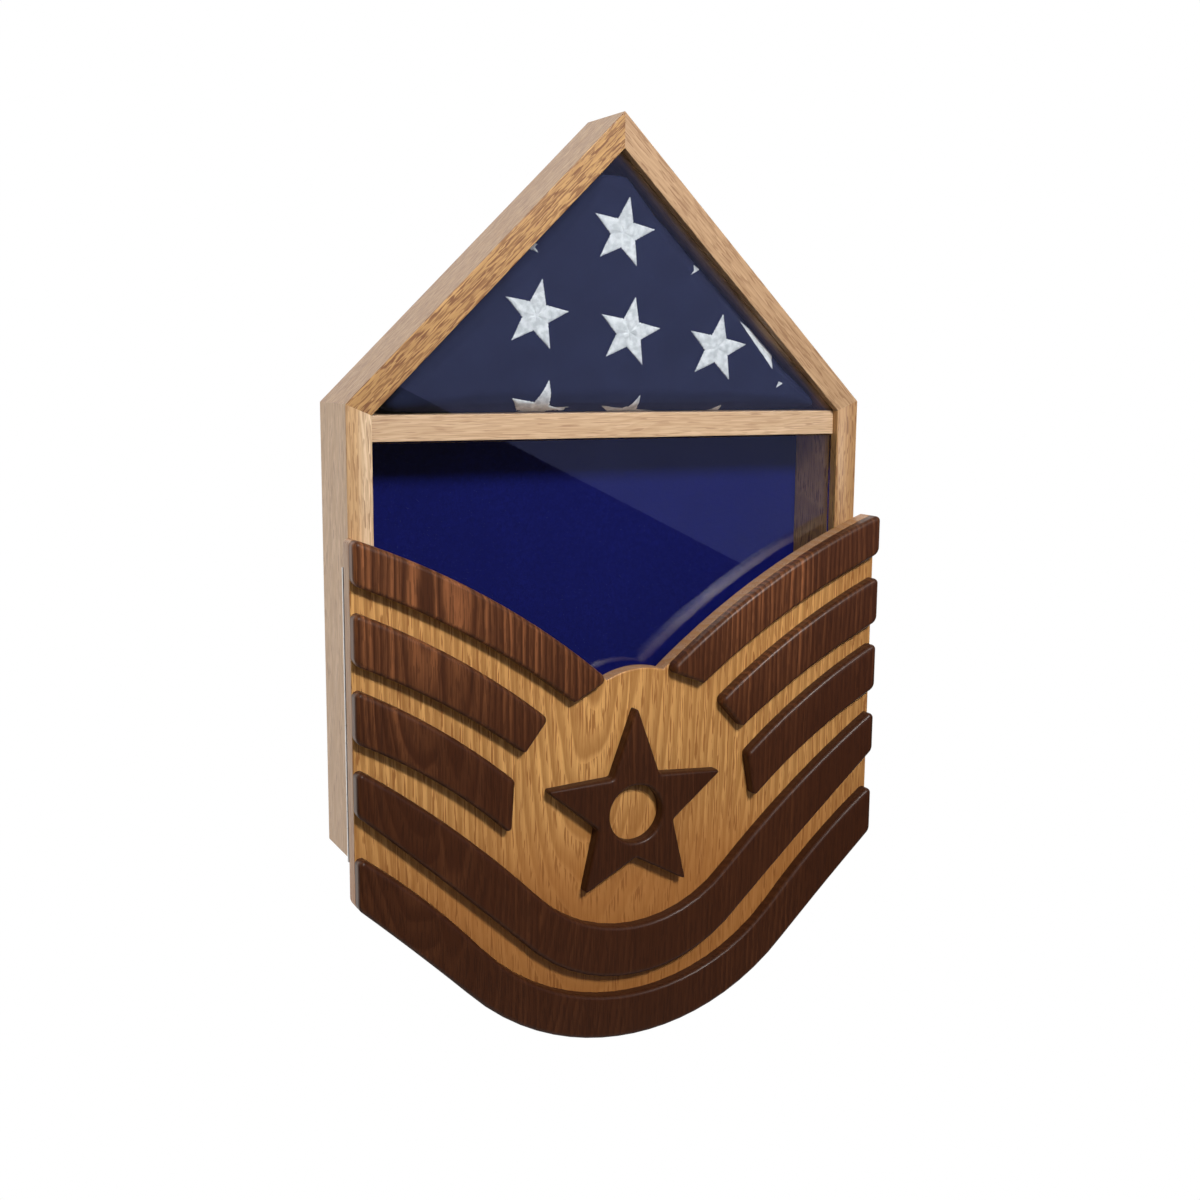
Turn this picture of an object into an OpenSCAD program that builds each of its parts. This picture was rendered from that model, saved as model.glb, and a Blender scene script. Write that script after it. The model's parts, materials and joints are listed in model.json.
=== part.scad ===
// Wall-hung display case for a folded flag, with a hinged front door.
// The origin lies on the plane of the case's back edges, midway between the two keyhole hangers.
// +X is to the right, +Y points into the wall and +Z is up; the door faces -Y.

/* [Case] */
// Outer width of the case
case_w = 432; // [400:2:460]
// Depth of the case's boards, front edge to back edge
case_d = 63.5; // [58:0.5:80]
// Thickness of the case's boards
board_t = 19; // [18:0.5:21]
// Outer height of the side boards
side_h = 331; // [325:1:345]
// Rise of the roof from the eaves to the ridge
roof_rise = 212; // [205:1:220]
// Height of the eaves over the keyhole hangers
eaves_z = 40; // [38:1:44]

/* [Back and lining] */
// Thickness of the back panel, which lies flush in its rebate
back_t = 3; // [2.5:0.5:4]
// Width of the rebate cut into the boards' inner back corner
rebate_w = 5; // [4:0.5:6]
// Thickness of the felt lining
felt_t = 1.2; // [0.8:0.2:2]

/* [Glazing] */
// Thickness of both acrylic panes
pane_t = 3; // [2:0.5:3]
// Distance from the case's front edges back to the panes
pane_setback = 6.5; // [6:0.5:8]
// Depth of the pane's groove in the roof boards
groove_d = 4; // [3:0.5:5]

/* [Door] */
// Width of the door's oak panel
panel_w = 446; // [440:1:450]
// Distance that the panel's centre lies right of the case's centre
panel_shift = 2.5; // [2:0.5:3]
// Thickness of the door's oak panel
panel_t = 14; // [12:0.5:18]
// Thickness of the walnut bars and star
bar_t = 10; // [6:0.5:12]
// Reach of the star's upper arm from its centre
star_r = 83.5; // [76:0.5:84]
// Radius of the round hole in the star
star_hole_r = 22.5; // [18:0.5:25]

/* [Hinge] */
// Length of one knuckle of the piano hinge
knuckle_l = 12.7; // [12:0.1:12.8]
// Outer radius of the hinge's barrel
barrel_r = 2.1; // [2:0.05:2.1]
// Radius of the hinge's pin
pin_r = 1.05; // [0.9:0.05:1.1]
// Thickness of each hinge leaf
leaf_t = 0.9; // [0.8:0.1:0.9]

/* [Hangers] */
// Radius of the keyhole that the wall screw's head goes through
keyhole_r = 4; // [3.5:0.25:4.25]
// Radius of the slot that the wall screw's shank rides up in
keyslot_r = 2; // [1.5:0.25:2.25]
// Height of the rubber wall bumpers
bumper_h = 4; // [4:0.5:6]

/* [Hidden] */
$fn = 48;
BUTTONS = [for (k = [1:6]) str("turn_button_", k)];

// Colours of the materials
oak = "burlywood";
walnut = "saddlebrown";
steel = "silver";
brass = "goldenrod";

// Case outline
half_w = case_w / 2;
pitch = atan2(roof_rise, half_w);
base_z = eaves_z - side_h;
shelf_t = 19;
shelf_top = eaves_z - board_t * tan(45 - pitch / 2);
shelf_under = shelf_top - shelf_t;
edge_inset = (board_t - rebate_w) / 2;

// Depth positions, front to back
case_front = -case_d;
seam = 2 * leaf_t + 0.3;
panel_back = case_front - seam;
panel_front = panel_back - panel_t;
bar_front = panel_front - bar_t;
pane_front = case_front + pane_setback;
pane_back = pane_front + pane_t;
ledge = -back_t;

// Door outline: each edge of a bar is [height at the panel's side, slope there in degrees, wing radius,
// bowl radius], where a bowl radius of 0 means that the edge has a wing only
panel_half = panel_w / 2;
edge_steps = 16;
bar_top = [[-51, 20, 640, 0], [-102, 23, 600, 0], [-157, 25.5, 530, 0], [-214, 33.5, 870, 112],
    [-278, 36, 600, 170]];
bar_under = [[-83.5, 22, 690, 0], [-140, 24, 625, 0], [-196, 26, 465, 0], [-249, 41, 4000, 128],
    [-318.5, 42, 2500, 193]];
// Where each short bar ends: its upper and its lower edge, on the left and then on the right
bar_ends = [[[24, 52.5], [27, 59]], [[74, 93.5], [73.5, 95]], [[101.5, 104.5], [100, 107]]];
end_round = [4, 5, 3, 8];
star_z = -273.5;
hump_r = 68;
// The hump's feet, left and right of the panel's centre line
hump_feet = [22, 27];
// The hand-cut star's radii from its upper tip round, tips and notches in turn: the lower arms are a
// little shorter, and the notch between them lies lower, to leave wood under the hole
star_radii = star_r * [1, 0.418, 0.96, 0.418, 0.9, 0.45, 0.91, 0.418, 0.955, 0.418];
star_tip_round = 1.5;
star_notch_round = 3;

// Pane rails behind the door panel
rail_w = 12;
rail_x = half_w - board_t - 2.5 - rail_w;
rail_top = -75;
pane_gap = 1.5;
pane_low = base_z + board_t + 8;
rail_screw_z = [-100, -165, -230];
rail_screw_x = [-80, 80];

// Piano hinge
hinge_x = -half_w - barrel_r - 0.5;
hinge_y = panel_back + barrel_r + 0.3;
knuckles = 17;
hinge_low = base_z + 1.5;
hinge_high = hinge_low + knuckles * knuckle_l;
knuckle_gap = 0.3;
leaf_edge = -half_w - 0.1;
leaf_w = 14;
leaf_screw_x = -half_w + 9;
leaf_screw_z = [for (k = [0:4]) hinge_low + (1.5 + 3.5 * k) * knuckle_l];

// Catches, hangers, bumpers and turn buttons
catch_x = half_w - board_t / 2;
catch_z = [-100, -262];
magnet_r = 5;
hanger_x = half_w - edge_inset;
hanger_w = 11;
hanger_t = 1.6;
hanger_low = -16;
hanger_high = 28;
keyslot_top = 14;
hanger_screw_z = [-10, 22];
head_pocket_r = keyhole_r + 0.6;
head_pocket_d = 8;
bumper_r = 5;
bumper_spots = [[-hanger_x, base_z + 30], [hanger_x, base_z + 30], [-hanger_x, -50], [hanger_x, -50]];
button_t = 1.2;
button_gap = 0.3;
button_r = 5.5;
button_reach = 14;
button_tip_r = 4;
button_bore_r = 1.65;
button_screw_r = 1.6;
button_head_r = 3;
// Each turn button's pivot and the direction in which it points, in degrees
button_spots = [
    [roof_spot(-1), -90 + pitch],
    [roof_spot(1), -90 - pitch],
    [[-hanger_x, -110], 0],
    [[hanger_x, -110], 180],
    [[-110, base_z + edge_inset], 90],
    [[110, base_z + edge_inset], 90]];

// Height of the eaves' and the ridge's corners on the outline that lies an inset inside the case
function eaves(inset) = eaves_z - inset * tan(45 - pitch / 2);
function ridge(inset) = eaves_z + roof_rise - inset / cos(pitch);

// The case's five corners at an inset: lower left, left eaves, ridge, right eaves, lower right
function outline(inset) = [
    [-half_w + inset, base_z + inset],
    [-half_w + inset, eaves(inset)],
    [0, ridge(inset)],
    [half_w - inset, eaves(inset)],
    [half_w - inset, base_z + inset]];

// The middle of a roof board's back edge, on the left (-1) or the right (1)
function roof_spot(side) = [side * half_w / 2, ridge(edge_inset) - tan(pitch) * half_w / 2];

// The upper pane's outline, reaching past the roof boards' inner faces by a depth
function gable(reach, half) = [
    [-half, shelf_top],
    [-half, ridge(board_t - reach) - half * tan(pitch)],
    [0, ridge(board_t - reach)],
    [half, ridge(board_t - reach) - half * tan(pitch)],
    [half, shelf_top]];

function unit(v) = v / norm(v);

// The arc that rounds corner p between its neighbours a and b
function corner(p, a, b, r, steps = 6) =
    r == 0 ? [p] :
    let (u = unit(a - p),
         v = unit(b - p),
         half = acos(u * v) / 2,
         centre = p + unit(u + v) * r / sin(half),
         from = p + u * r / tan(half) - centre,
         to = p + v * r / tan(half) - centre,
         start = atan2(from.y, from.x),
         turn = (atan2(to.y, to.x) - start + 540) % 360 - 180)
    [for (i = [0:steps]) centre + r * [cos(start + turn * i / steps), sin(start + turn * i / steps)]];

// A closed outline with every corner rounded by its own radius
function rounded(points, radii) =
    let (n = len(points))
    [for (i = [0:n - 1]) each corner(points[i], points[(i + n - 1) % n], points[(i + 1) % n], radii[i])];

// Height of a bar's edge at a distance u from the panel's centre line: a wide arc that bows upwards,
// and where it has a bowl radius, an arc across the middle that meets it tangentially
function edge(e, u) =
    let (wing = e[2],
         bowl = e[3],
         crest = panel_half + wing * sin(e[1]),
         wing_z = e[0] - wing * cos(e[1]),
         meet = bowl == 0 ? -1 : crest * bowl / (wing + bowl))
    u >= meet
        ? wing_z + sqrt(wing ^ 2 - (crest - u) ^ 2)
        : wing_z + sqrt(wing ^ 2 - (crest - meet) ^ 2) + sqrt(bowl ^ 2 - meet ^ 2) - sqrt(bowl ^ 2 - u ^ 2);

// Points along an edge from one distance to another, on the left (-1) or the right (1)
function stretch(e, side, from, to) =
    [for (i = [0:edge_steps])
        let (u = from + (to - from) * i / edge_steps)
        [panel_shift + side * u, edge(e, u)]];

// Points along an edge across the whole panel, to the right (1) or to the left (-1)
function span(e, way) =
    [for (i = [-edge_steps:edge_steps])
        let (u = way * panel_half * i / edge_steps)
        [panel_shift + u, edge(e, abs(u))]];

// The outline between an upper and a lower row of points, with its four end corners rounded
function band(upper, lower, r) =
    let (m = len(upper), n = m + len(lower))
    rounded(concat(upper, lower),
            [for (i = [0:n - 1]) i == 0 ? r[0] : i == m - 1 ? r[1] : i == m ? r[2] : i == n - 1 ? r[3] : 0]);

// A flat outline in X and Z, made solid from its front to its back
module slab(front, back) {
    translate([0, back, 0])
        rotate([90, 0, 0])
            linear_extrude(back - front)
                children();
}

// A round bar along Y at each spot, from its front to its back
module rods(spots, r, front, back) {
    for (p = spots)
        translate([p.x, back, p.y])
            rotate([90, 0, 0])
                cylinder(r = r, h = back - front);
}

// A countersunk screw at each spot: its flat head lies at head_y and it points to -Y (-1) or +Y (1)
module sunk_screws(spots, head_y, way, r, length) {
    head_r = 2 * r;
    for (p = spots)
        translate([p.x, head_y, p.y])
            rotate([way * -90, 0, 0]) {
                cylinder(r1 = head_r, r2 = r, h = r);
                cylinder(r = r, h = length);
            }
}

// The spots of a list of heights at one X
function column(x, heights) = [for (z = heights) [x, z]];

// One board of the case: k counts the outline's sides from the left side board, clockwise
module board(k) {
    outer = outline(0);
    inner = outline(board_t);
    next = (k + 1) % 5;
    difference() {
        slab(case_front, 0)
            polygon([outer[k], outer[next], inner[next], inner[k]]);
        slab(ledge, 1)
            polygon(outline(board_t - rebate_w));
        rods([for (b = button_spots) b[0]], button_screw_r, -12, 1);
    }
}

module roof_board(k) {
    color(oak)
        difference() {
            board(k);
            slab(pane_front - 0.2, pane_back + 0.2)
                polygon(gable(groove_d, half_w - board_t));
        }
}

// The pocket that a keyhole hanger is let into, with room behind it for the wall screw's head
module hanger_pocket(x) {
    slab(-hanger_t, 1)
        translate([x, 0])
            hanger_blank();
    for (p = [[x, 0], [x, keyslot_top]])
        rods([p], head_pocket_r, -head_pocket_d, 0);
    translate([x - head_pocket_r, -head_pocket_d, 0])
        cube([2 * head_pocket_r, head_pocket_d, keyslot_top]);
    sunk_screws(column(x, hanger_screw_z), 0, -1, 1.3, 12);
}

module side_board_left() {
    color(oak)
        difference() {
            board(0);
            hanger_pocket(-hanger_x);
            hinge_case_screws();
        }
}

module side_board_right() {
    color(oak)
        difference() {
            board(3);
            hanger_pocket(hanger_x);
            rods(column(catch_x, catch_z), magnet_r, case_front - 1, case_front + 4);
        }
}

module bottom_board() {
    color(oak)
        board(4);
}

module shelf() {
    color(oak)
        translate([-half_w + board_t, pane_front, shelf_under])
            cube([case_w - 2 * board_t, ledge - pane_front, shelf_t]);
}

module upper_pane() {
    color("azure", 0.3)
        slab(pane_front, pane_back)
            polygon(gable(groove_d - 0.4, half_w - board_t - 0.5));
}

// The flag folded into a triangle, resting on the shelf
module folded_flag() {
    foot = shelf_top + 0.3;
    color("midnightblue")
        slab(pane_back + 1, -9)
            polygon(rounded([[-178, foot], [-13, foot + 167], [-1, foot + 168], [184, foot]], [3, 6, 6, 3]));
}

module back_panel() {
    color("tan")
        slab(ledge, 0)
            polygon(outline(board_t - rebate_w + 0.4));
}

module felt_lining() {
    color("darkblue")
        translate([-half_w + board_t + 0.5, ledge - felt_t, base_z + board_t + 0.5])
            cube([case_w - 2 * board_t - 1, felt_t, shelf_under - base_z - board_t - 1]);
}

// A keyhole hanger's outline: a strip with round ends
module hanger_blank() {
    end_r = hanger_w / 2;
    translate([0, hanger_low + end_r])
        circle(r = end_r);
    translate([0, hanger_high - end_r])
        circle(r = end_r);
    translate([-end_r, hanger_low + end_r])
        square([hanger_w, hanger_high - hanger_low - hanger_w]);
}

module keyhole_hangers() {
    color(steel)
        for (x = [-hanger_x, hanger_x])
            difference() {
                slab(-hanger_t, 0)
                    translate([x, 0])
                        hanger_blank();
                rods([[x, 0]], keyhole_r, -3, 1);
                rods([[x, keyslot_top]], keyslot_r, -3, 1);
                translate([x - keyslot_r, -3, 0])
                    cube([2 * keyslot_r, 4, keyslot_top]);
                sunk_screws(column(x, hanger_screw_z), 0, -1, 1.3, 12);
            }
}

module hanger_screws() {
    color(steel)
        for (x = [-hanger_x, hanger_x])
            sunk_screws(column(x, hanger_screw_z), 0, -1, 1.3, 12);
}

module wall_bumpers() {
    color("dimgray")
        rods(bumper_spots, bumper_r, 0, bumper_h);
}

module turn_button(k) {
    color(steel)
        slab(button_gap, button_gap + button_t)
            translate(button_spots[k][0])
                rotate(button_spots[k][1])
                    difference() {
                        union() {
                            circle(r = button_r);
                            translate([0, -button_tip_r])
                                square([button_reach, 2 * button_tip_r]);
                            translate([button_reach, 0])
                                circle(r = button_tip_r);
                        }
                        circle(r = button_bore_r);
                    }
}

module turn_button_screws() {
    head_y = 2 * button_gap + button_t;
    color(brass)
        for (b = button_spots) {
            rods([b[0]], button_screw_r, -12, head_y);
            rods([b[0]], button_head_r, head_y, head_y + 1.6);
        }
}

// The barrel pieces of one leaf: the case's knuckles have even numbers and the door's have odd ones
module barrel(first) {
    for (k = [first:2:knuckles - 1])
        translate([hinge_x, hinge_y, hinge_low + k * knuckle_l + knuckle_gap / 2])
            cylinder(r = barrel_r, h = knuckle_l - knuckle_gap);
}

// The tabs that join a leaf to its barrel pieces
module tabs(first, from_x, front) {
    for (k = [first:2:knuckles - 1])
        translate([from_x, front, hinge_low + k * knuckle_l + knuckle_gap / 2])
            cube([leaf_edge + 1 - from_x, leaf_t, knuckle_l - knuckle_gap]);
}

module leaf(first, from_x, front) {
    difference() {
        union() {
            barrel(first);
            tabs(first, from_x, front);
            translate([leaf_edge, front, hinge_low])
                cube([leaf_w, leaf_t, hinge_high - hinge_low]);
        }
        translate([hinge_x, hinge_y, hinge_low - 1])
            cylinder(r = pin_r + 0.05, h = hinge_high - hinge_low + 2);
    }
}

module hinge_case_leaf() {
    color(steel)
        difference() {
            leaf(0, hinge_x + 1.3, case_front - leaf_t);
            hinge_case_screws();
        }
}

module hinge_door_leaf() {
    color(steel)
        difference() {
            leaf(1, hinge_x, panel_back);
            hinge_door_screws();
        }
}

module hinge_pin() {
    color(steel)
        translate([hinge_x, hinge_y, hinge_low])
            cylinder(r = pin_r, h = hinge_high - hinge_low);
}

module hinge_case_screws() {
    color(steel)
        sunk_screws(column(leaf_screw_x, leaf_screw_z), case_front - leaf_t, 1, 1.1, 12);
}

module hinge_door_screws() {
    color(steel)
        sunk_screws(column(leaf_screw_x, leaf_screw_z), panel_back + leaf_t, -1, 1.1, 11);
}

module catch_magnets() {
    color("gray")
        rods(column(catch_x, catch_z), magnet_r, case_front - leaf_t, case_front + 4);
}

module catch_strikes() {
    color(steel)
        difference() {
            rods(column(catch_x, catch_z), magnet_r + 1, panel_back, panel_back + leaf_t);
            strike_screws();
        }
}

module strike_screws() {
    color(steel)
        sunk_screws(column(catch_x, catch_z), panel_back + leaf_t, -1, 1.1, 9);
}

// The door's oak panel: bar 1's top edge on each side, a hump between them, and bar 5's lower edge
module door_panel() {
    left = stretch(bar_top[0], -1, panel_half, hump_feet[0]);
    right = stretch(bar_top[0], 1, hump_feet[1], panel_half);
    chord = right[0] - left[edge_steps];
    lean = atan2(chord.y, chord.x);
    angle = asin(norm(chord) / 2 / hump_r);
    middle = (right[0] + left[edge_steps]) / 2 + hump_r * cos(angle) * [sin(lean), -cos(lean)];
    hump = [for (i = [-5:5]) middle + hump_r * [sin(angle * i / 6 - lean), cos(angle * i / 6 - lean)]];
    color(oak)
        difference() {
            slab(panel_front, panel_back)
                polygon(band(concat(left, hump, right), span(bar_under[4], -1), [4, 4, 8, 8]));
            hinge_door_screws();
            strike_screws();
        }
}

// A short bar, k from 0 at the top, on the left (-1) or the right (1)
module short_bar(k, side) {
    ends = bar_ends[k][side < 0 ? 0 : 1];
    color(walnut)
        slab(bar_front, panel_front)
            polygon(band(stretch(bar_top[k], side, panel_half, ends[0]),
                         stretch(bar_under[k], side, ends[1], panel_half),
                         end_round));
}

// A bar that runs the whole width of the door
module long_bar(k) {
    color(walnut)
        slab(bar_front, panel_front)
            polygon(band(span(bar_top[k], 1), span(bar_under[k], -1),
                         [end_round[0], end_round[0], end_round[3], end_round[3]]));
}

module star() {
    points = [for (i = [0:9]) star_radii[i] * [cos(90 + 36 * i), sin(90 + 36 * i)]];
    color(walnut)
        slab(bar_front, panel_front)
            translate([panel_shift, star_z])
                difference() {
                    polygon(rounded(points, [for (i = [0:9]) i % 2 == 0 ? star_tip_round : star_notch_round]));
                    translate([0, -2])
                        circle(r = star_hole_r);
                }
}

module lower_pane() {
    half = half_w - board_t - pane_gap;
    color("azure", 0.3)
        difference() {
            translate([-half, pane_front, pane_low])
                cube([2 * half, pane_t, shelf_under - 1 - pane_low]);
            rods(rail_screw_spots(), 1.7, pane_front - 1, pane_back + 1);
        }
}

function rail_screw_spots() = concat(
    column(-rail_x - rail_w / 2, rail_screw_z),
    column(rail_x + rail_w / 2, rail_screw_z),
    [for (x = rail_screw_x) [x, pane_low + rail_w / 2]]);

module pane_rail(x, z, length_x, length_z) {
    color(oak)
        difference() {
            translate([x, panel_back, z])
                cube([length_x, pane_front - panel_back, length_z]);
            rods(rail_screw_spots(), 1.5, pane_front - 6, pane_front + 1);
        }
}

module pane_screws() {
    color(steel) {
        rods(rail_screw_spots(), 1.5, pane_front - 6, pane_back);
        rods(rail_screw_spots(), 3, pane_back, pane_back + 1.6);
    }
}

roof_board(1);  // roof_board_left
roof_board(2);  // roof_board_right
side_board_left();
side_board_right();
bottom_board();
shelf();
upper_pane();
folded_flag();
back_panel();
felt_lining();
keyhole_hangers();
hanger_screws();
wall_bumpers();
turn_button_screws();
hinge_case_leaf();
hinge_pin();
hinge_case_screws();
catch_magnets();
door_panel();
short_bar(0, -1);  // bar_1_left
short_bar(0, 1);  // bar_1_right
short_bar(1, -1);  // bar_2_left
short_bar(1, 1);  // bar_2_right
short_bar(2, -1);  // bar_3_left
short_bar(2, 1);  // bar_3_right
long_bar(3);  // bar_4
long_bar(4);  // bar_5
star();
lower_pane();
pane_rail(-rail_x - rail_w, pane_low, rail_w, rail_top - pane_low);  // pane_rail_left
pane_rail(rail_x, pane_low, rail_w, rail_top - pane_low);  // pane_rail_right
pane_rail(-rail_x + 1, pane_low, 2 * rail_x - 2, rail_w);  // pane_rail_bottom
pane_screws();
hinge_door_leaf();
hinge_door_screws();
catch_strikes();
strike_screws();
for (k = [0:len(BUTTONS) - 1])
    turn_button(k);
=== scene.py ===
"""The visible pieces and materials of a folded flag display case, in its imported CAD's frame."""

import json
import math

import bmesh
import bpy
from mathutils import Matrix, Vector, noise
from mathutils.bvhtree import BVHTree
from mathutils.geometry import tessellate_polygon


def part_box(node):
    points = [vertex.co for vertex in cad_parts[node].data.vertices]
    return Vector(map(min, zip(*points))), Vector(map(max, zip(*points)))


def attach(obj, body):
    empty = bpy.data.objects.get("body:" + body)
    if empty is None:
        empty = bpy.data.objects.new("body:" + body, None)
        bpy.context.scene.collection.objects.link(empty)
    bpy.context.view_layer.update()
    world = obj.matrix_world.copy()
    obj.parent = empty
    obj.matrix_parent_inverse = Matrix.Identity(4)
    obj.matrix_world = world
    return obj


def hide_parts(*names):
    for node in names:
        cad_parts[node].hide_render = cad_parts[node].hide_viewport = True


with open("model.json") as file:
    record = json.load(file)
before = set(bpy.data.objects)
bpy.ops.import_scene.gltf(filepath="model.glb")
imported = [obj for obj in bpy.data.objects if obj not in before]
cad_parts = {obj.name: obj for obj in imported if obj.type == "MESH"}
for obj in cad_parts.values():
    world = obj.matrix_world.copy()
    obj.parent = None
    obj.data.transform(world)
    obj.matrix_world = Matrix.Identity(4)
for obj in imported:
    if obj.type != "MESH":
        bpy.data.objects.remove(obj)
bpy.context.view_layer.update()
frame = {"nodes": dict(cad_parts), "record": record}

MM = 0.001
NEAR = 0.02 * MM  # two points closer than this are the same
NODES = frame["nodes"]
BODY_OF = {n: body for body, names in frame["record"]["behaviour"]["bodies"].items() for n in names}
SLOT_OF = {part["node"]: part["material_slot"] for part in frame["record"]["subparts"]}
BOARD = 19 * MM  # the thickness of the case's boards
ROOF_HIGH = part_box("roof_board_right")[1]
PITCH = math.atan2(ROOF_HIGH.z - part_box("side_board_right")[1].z, ROOF_HIGH.x)  # the roof's slope


# ---------------------------------------------------------------- camera, lights and stage

CAMERA_PLACE = (-0.5258, -1.0835, 0.0725)
CAMERA_ANGLES = (26.47, 9.1, 0.42)  # degrees to the right, downwards and of roll
CAMERA_LENS, CAMERA_SENSOR = 45.2, 36  # mm
FLOOR_RADIUS, FLOOR_HEIGHT = 2, -1.5
FLOOR_SIDES = 96
CARD_LEFT, CARD_RIGHT, CARD_TOP = -0.9, 2.9, 1.0
CARD_Y = -2.5
CARD_POINT = (0.666, 0.002)  # x and z of a point on the card's lower edge
CARD_SLOPE = -0.4955  # of that edge, down to the right


def make_camera():
    """The camera stands left of the case, a little above its keyholes, and looks right and down."""
    yaw, pitch, roll = (math.radians(angle) for angle in CAMERA_ANGLES)
    across, ahead = math.sin(yaw) * math.cos(pitch), math.cos(yaw) * math.cos(pitch)
    forward = Vector((across, ahead, -math.sin(pitch)))
    level = Vector((math.cos(yaw), -math.sin(yaw), 0))
    upward = level.cross(forward)
    right = math.cos(roll) * level + math.sin(roll) * upward
    top = -math.sin(roll) * level + math.cos(roll) * upward
    data = bpy.data.cameras.new("camera")
    data.sensor_width = CAMERA_SENSOR
    data.lens = CAMERA_LENS
    camera = bpy.data.objects.new("camera", data)
    camera.matrix_world = Matrix((right, top, -forward)).transposed().to_4x4()
    camera.location = CAMERA_PLACE
    bpy.context.scene.collection.objects.link(camera)
    bpy.context.scene.camera = camera


def add_lamp(name, place, target, size, power, colour):
    """A rectangular lamp that faces a target and that the camera doesn't see."""
    data = bpy.data.lights.new(name, "AREA")
    data.shape = "RECTANGLE"
    data.size, data.size_y = size
    data.energy = power
    data.color = colour
    lamp = bpy.data.objects.new(name, data)
    lamp.location = place
    lamp.rotation_euler = (Vector(target) - Vector(place)).to_track_quat("-Z", "Y").to_euler()
    lamp.visible_camera = False
    bpy.context.scene.collection.objects.link(lamp)
    return lamp


def make_lamps():
    """A key light in front and above, and a large soft window on the left that nothing mirrors."""
    key = add_lamp(
        "key",
        place=(0.15, -1.7, 1.05),
        target=(0, 0, 0.06),
        size=(0.34, 0.34),
        power=6.7,
        colour=(1, 0.985, 0.96),
    )
    key.data.spread = math.radians(70)
    window = add_lamp(
        "window",
        place=(-2.2, -1.3, 0.35),
        target=(0, 0, -0.05),
        size=(1.1, 1.1),
        power=6.5,
        colour=(1, 0.97, 0.92),
    )
    window.visible_glossy = False


def make_world():
    """White to the camera. All else gets a bright wall behind and some light from above."""
    world = bpy.data.worlds.new("world")
    bpy.context.scene.world = world
    world.use_nodes = True
    graph = Graph("world", world.node_tree)
    _, behind, height = graph.split(graph.add("ShaderNodeTexCoord", {}).outputs["Generated"])
    from_above = graph.step(height, 0.2, 0.95, 0.03, 0.5)
    from_behind = graph.step(behind, 0.05, 0.6, 0.0, 1.5)
    strength = graph.maths("ADD", from_above, from_behind)
    lit = graph.add("ShaderNodeBackground", {"Color": (1, 0.95, 0.89), "Strength": strength})
    seen = graph.add("ShaderNodeBackground", {"Color": (1, 1, 1), "Strength": 1.0})
    mix = graph.mix_shaders(graph.in_view(), lit, seen)
    graph.links.new(mix, graph.add("ShaderNodeOutputWorld", {}).inputs["Surface"])


def add_stage(name, points, material):
    """A flat face that belongs to the picture and not to the object."""
    mesh = bpy.data.meshes.new(name)
    mesh.from_pydata(points, [], [range(len(points))])
    mesh.materials.append(material)
    piece = bpy.data.objects.new(name, mesh)
    bpy.context.scene.collection.objects.link(piece)
    return piece


def make_stage():
    """A pale floor far below the case, which hangs on a wall, and the blue card in its panes."""
    graph = Graph("pale_floor")
    cloud = graph.noise(graph.place(), 0.002)
    pale = graph.blend(cloud, (0.55, 0.55, 0.56), (0.62, 0.62, 0.62))
    matt = graph.principled(Base_Color=pale, Roughness=0.9)
    white = graph.add("ShaderNodeEmission", {"Color": (1, 1, 1), "Strength": 1.0})
    surface = graph.mix_shaders(graph.in_view(), matt, white)
    turns = [2 * math.pi * k / FLOOR_SIDES for k in range(FLOOR_SIDES)]
    rim = [(FLOOR_RADIUS * math.cos(a), FLOOR_RADIUS * math.sin(a), FLOOR_HEIGHT) for a in turns]
    add_stage("floor", rim, graph.show(surface))

    graph = Graph("blue_card")
    cloud = graph.noise(graph.place(), 0.003)
    strength = graph.step(cloud, 0.2, 0.8, 0.42, 0.5)
    glow = graph.add("ShaderNodeEmission", {"Color": (0.46, 0.51, 1), "Strength": strength})
    x0, z0 = CARD_POINT
    lower = [(x, CARD_Y, z0 + CARD_SLOPE * (x - x0)) for x in (CARD_LEFT, CARD_RIGHT)]
    upper = [(x, CARD_Y, CARD_TOP) for x in (CARD_RIGHT, CARD_LEFT)]
    card = add_stage("card", lower + upper, graph.show(glow.outputs[0]))
    card.visible_camera = False


# ---------------------------------------------------------------- shader graphs


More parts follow.
